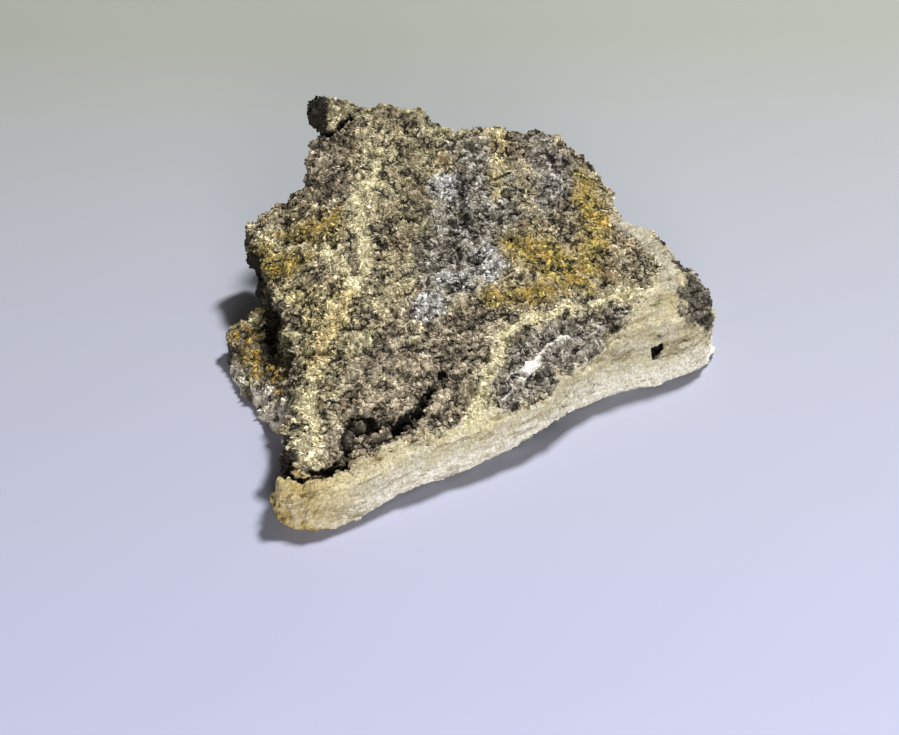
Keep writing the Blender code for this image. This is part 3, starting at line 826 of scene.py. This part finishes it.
# Painted shade in the open clefts of the rind, which the bump also sinks.
clefts = noise(tree, along_grain(tree, place, 5.0), 1.3 * MM)
clefts = ramped(tree, clefts, 0.60, 0.66)
streaked = blend(tree, clefts, streaked, RIND_CLEFT_SHADE)
grainy = blend(tree, 1.0, zone_node.outputs["Colour"], streaked, "MULTIPLY")
skin = blend(tree, zone_node.outputs["Crust"], grainy, crusty)
tree.links.new(skin, surface.inputs["Base Color"])
surface.inputs["Roughness"].default_value = STONE_ROUGHNESS
pits = sums(tree, "MULTIPLY_ADD", streaks, 0.3, sums(tree, "MULTIPLY", specks, 0.7))
pits = sums(tree, "SUBTRACT", pits, clefts)
feeds = {"Strength": BUMP_STRENGTH, "Distance": BUMP_DEPTH, "Height": pits}
bump = add_node(tree, "ShaderNodeBump", feeds)
tree.links.new(bump.outputs[0], surface.inputs["Normal"])
stone.data.materials.clear()
stone.data.materials.append(stone_material)
bpy.ops.object.shade_smooth_by_angle(angle=math.radians(35))
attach(stone, "root")
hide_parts("petrified_wood")

# --- Plates of the crust ---------------------------------------------------------------
# Thin quartz plates that lean every way over the whole broken face, half a millimetre to
# a millimetre and a half long. Each is rooted in the crust under it.


def add_crystal(name, half_size, tip, foot):
    """One flat crystal that narrows towards its tip and towards its foot."""
    deselect_all()
    bpy.ops.mesh.primitive_cube_add(size=2.0)
    crystal = bpy.context.object
    crystal.name = name
    crystal.scale = [half * MM for half in half_size]
    bpy.ops.object.transform_apply(location=False, rotation=False, scale=True)
    for vertex in crystal.data.vertices:
        share = tip if vertex.co.z > 0.0 else foot
        vertex.co.x *= share
        vertex.co.y *= share
    return crystal


def scatter(name, seed_shape, part, per_mm2, gap, lean, sizes, seed):
    """Grow copies of one crystal over a part of the stone, and keep each one's own tint."""
    deselect_all()
    piece = stone.copy()
    piece.data = stone.data.copy()
    piece.name = name
    piece.parent = None
    bpy.context.scene.collection.objects.link(piece)
    piece.select_set(True)
    bpy.context.view_layer.objects.active = piece
    tree = bpy.data.node_groups.new(name, "GeometryNodeTree")
    tree.interface.new_socket("Geometry", in_out="INPUT", socket_type="NodeSocketGeometry")
    tree.interface.new_socket("Geometry", in_out="OUTPUT", socket_type="NodeSocketGeometry")
    skin = tree.nodes.new("NodeGroupInput").outputs[0]
    share = add_node(tree, "GeometryNodeInputNamedAttribute", {"Name": part}).outputs[0]
    feeds = {"Mesh": skin, "Distance Min": gap * MM, "Density Max": per_mm2 / MM**2}
    feeds["Density Factor"] = add_node(tree, "ShaderNodeClamp", {0: share}).outputs[0]
    feeds["Seed"] = seed
    spots = add_node(
        tree, "GeometryNodeDistributePointsOnFaces", feeds, distribute_method="POISSON"
    )
    turns = {0: (-lean, -lean, 0.0), 1: (lean, lean, 2.0 * math.pi), "Seed": seed + 1}
    turned = add_node(tree, "FunctionNodeRandomValue", turns, data_type="FLOAT_VECTOR")
    turned = add_node(tree, "FunctionNodeEulerToRotation", {0: turned.outputs[0]})
    feeds = {0: spots.outputs["Rotation"], 1: turned.outputs[0]}
    turned = add_node(tree, "FunctionNodeRotateRotation", feeds, rotation_space="LOCAL")
    feeds = {0: (sizes[0],) * 3, 1: (sizes[1],) * 3, "Seed": seed + 2}
    size = add_node(tree, "FunctionNodeRandomValue", feeds, data_type="FLOAT_VECTOR")
    shape = add_node(tree, "GeometryNodeObjectInfo", {"Object": seed_shape, "As Instance": True})
    feeds = {"Points": spots.outputs[0], "Instance": shape.outputs["Geometry"]}
    feeds["Rotation"] = turned.outputs[0]
    feeds["Scale"] = size.outputs[0]
    grown = add_node(tree, "GeometryNodeInstanceOnPoints", feeds).outputs[0]
    tint = add_node(tree, "FunctionNodeRandomValue", {"Seed": seed + 3}).outputs[1]
    feeds = {"Geometry": grown, "Name": "tint", "Value": tint}
    grown = add_node(tree, "GeometryNodeStoreNamedAttribute", feeds, domain="INSTANCE").outputs[0]
    grown = add_node(tree, "GeometryNodeRealizeInstances", {0: grown}).outputs[0]
    tree.links.new(grown, tree.nodes.new("NodeGroupOutput").inputs[0])
    apply_modifier(piece, "Grow crystals", "NODES", node_group=tree)
    bpy.data.objects.remove(seed_shape)
    piece.data.materials.clear()
    bpy.ops.object.shade_flat()
    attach(piece, "root")
    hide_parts("petrified_wood")
    return piece


def crystal_material(name, dull, bright, glossiest):
    """Crystals take the colour of their zone, most of them darker and a few lighter."""
    material, tree, surface, place = new_material(name)
    zone_node = add_node(tree, "ShaderNodeGroup", {"Place": place}, node_tree=zones)
    tint = kept(tree, "tint")
    shade = blend(tree, sums(tree, "MULTIPLY", tint, tint), dull, bright)
    colour = blend(tree, 1.0, zone_node.outputs["Colour"], shade, "MULTIPLY")
    tree.links.new(colour, surface.inputs["Base Color"])
    specks = noise(tree, place, 0.15 * MM, rough=0.6)
    roughness = ramped(tree, specks, 0.3, 0.7, start=glossiest, end=0.8)
    tree.links.new(roughness, surface.inputs["Roughness"])
    return material


PLATE_DULL = (0.46, 0.43, 0.36, 1.0)
PLATE_BRIGHT = (1.62, 1.59, 1.53, 1.0)
plate = add_crystal("plate", half_size=(0.45, 0.25, 0.065), tip=0.7, foot=0.9)
plates = scatter(
    "crust_plates",
    plate,
    part="plates",
    per_mm2=4.5,
    gap=0.3,
    lean=math.radians(42),
    sizes=(0.5, 1.6),
    seed=11,
)
plates.data.materials.append(
    crystal_material("quartz plates", PLATE_DULL, PLATE_BRIGHT, glossiest=0.4)
)

# --- Slivers of the crust --------------------------------------------------------------
# Pale needles of quartz that lie across one another between the plates, each about a
# millimetre long and a seventh as wide. They grew on the crust after the plates.

SLIVER_DULL = (0.9, 0.86, 0.80, 1.0)
SLIVER_BRIGHT = (1.85, 1.8, 1.78, 1.0)
sliver = add_crystal("sliver", half_size=(0.52, 0.07, 0.05), tip=0.7, foot=0.8)
slivers = scatter(
    "crust_slivers",
    sliver,
    part="slivers",
    per_mm2=3.0,
    gap=0.25,
    lean=math.radians(25),
    sizes=(0.6, 1.6),
    seed=29,
)
slivers.data.materials.append(
    crystal_material("quartz slivers", SLIVER_DULL, SLIVER_BRIGHT, glossiest=0.4)
)

# --- Grains of the crust ---------------------------------------------------------------
# Blocky quartz grains that fill the room between the plates, and stud the broken sides
# more thinly. They lie every way round.

GRAIN_DULL = (0.44, 0.41, 0.34, 1.0)
GRAIN_BRIGHT = (1.4, 1.37, 1.27, 1.0)
grain = add_crystal("grain", half_size=(0.26, 0.18, 0.15), tip=0.6, foot=0.8)
grains = scatter(
    "crust_grains",
    grain,
    part="grains",
    per_mm2=1.8,
    gap=0.3,
    lean=math.pi,
    sizes=(0.6, 1.6),
    seed=23,
)
grains.data.materials.append(
    crystal_material("quartz grains", GRAIN_DULL, GRAIN_BRIGHT, glossiest=0.5)
)

# --- Blocks beside the cracks ----------------------------------------------------------
# Bigger rounded blocks of grey-brown quartz, up to a millimetre and a half across, held
# in the crust along the deep cracks. They were left standing where the crust broke.

BLOCK_DULL = (0.6, 0.57, 0.56, 1.0)
BLOCK_BRIGHT = (1.3, 1.26, 1.22, 1.0)
deselect_all()
bpy.ops.mesh.primitive_ico_sphere_add(subdivisions=1, radius=1.0 * MM)
block = bpy.context.object
block.scale = (0.75, 0.52, 0.42)
bpy.ops.object.transform_apply(location=False, rotation=False, scale=True)
blocks = scatter(
    "crack_blocks",
    block,
    part="blocks",
    per_mm2=1.0,
    gap=0.7,
    lean=math.pi,
    sizes=(0.4, 1.1),
    seed=41,
)
blocks.data.materials.append(
    crystal_material("grey quartz blocks", BLOCK_DULL, BLOCK_BRIGHT, glossiest=0.5)
)

# --- Sand of the rind and the veins ----------------------------------------------------
# Fine sugary grains of pale quartz, about a fifth of a millimetre across. They cover the
# cream rind, and fill the thin pale veins that cross the crust.

RIND_SAND_DULL = (0.80, 0.77, 0.70, 1.0)
RIND_SAND_BRIGHT = (1.2, 1.19, 1.15, 1.0)
VEIN_SAND_DULL = (0.75, 0.72, 0.66, 1.0)
VEIN_SAND_BRIGHT = (1.35, 1.32, 1.25, 1.0)
speck = add_crystal("speck", half_size=(0.10, 0.08, 0.07), tip=0.6, foot=0.7)
sand = scatter(
    "rind_sand",
    speck,
    part="sand",
    per_mm2=4.0,
    gap=0.2,
    lean=math.pi,
    sizes=(0.5, 1.6),
    seed=37,
)
sand.data.materials.append(
    crystal_material("rind sand", RIND_SAND_DULL, RIND_SAND_BRIGHT, glossiest=0.6)
)
speck = add_crystal("vein speck", half_size=(0.14, 0.09, 0.07), tip=0.6, foot=0.7)
vein_sand = scatter(
    "vein_sand",
    speck,
    part="vein_sand",
    per_mm2=14.0,
    gap=0.16,
    lean=math.pi,
    sizes=(0.6, 1.6),
    seed=53,
)
vein_sand.data.materials.append(
    crystal_material("vein sand", VEIN_SAND_DULL, VEIN_SAND_BRIGHT, glossiest=0.6)
)

# --- White threads of the dark hollow --------------------------------------------------
# White quartz that grew last, as a small knob with thin threads running out of it along
# the middle of the dark oval hollow. Its grains are rooted in the crust.

WHITE_DULL = (0.9, 0.9, 0.9, 1.0)
WHITE_BRIGHT = (1.1, 1.1, 1.1, 1.0)
speck = add_crystal("white speck", half_size=(0.12, 0.10, 0.09), tip=0.6, foot=0.7)
white_threads = scatter(
    "white_threads",
    speck,
    part="white_sand",
    per_mm2=40.0,
    gap=0.1,
    lean=math.pi,
    sizes=(0.7, 1.5),
    seed=61,
)
white_threads.data.materials.append(
    crystal_material("white quartz", WHITE_DULL, WHITE_BRIGHT, glossiest=0.5)
)
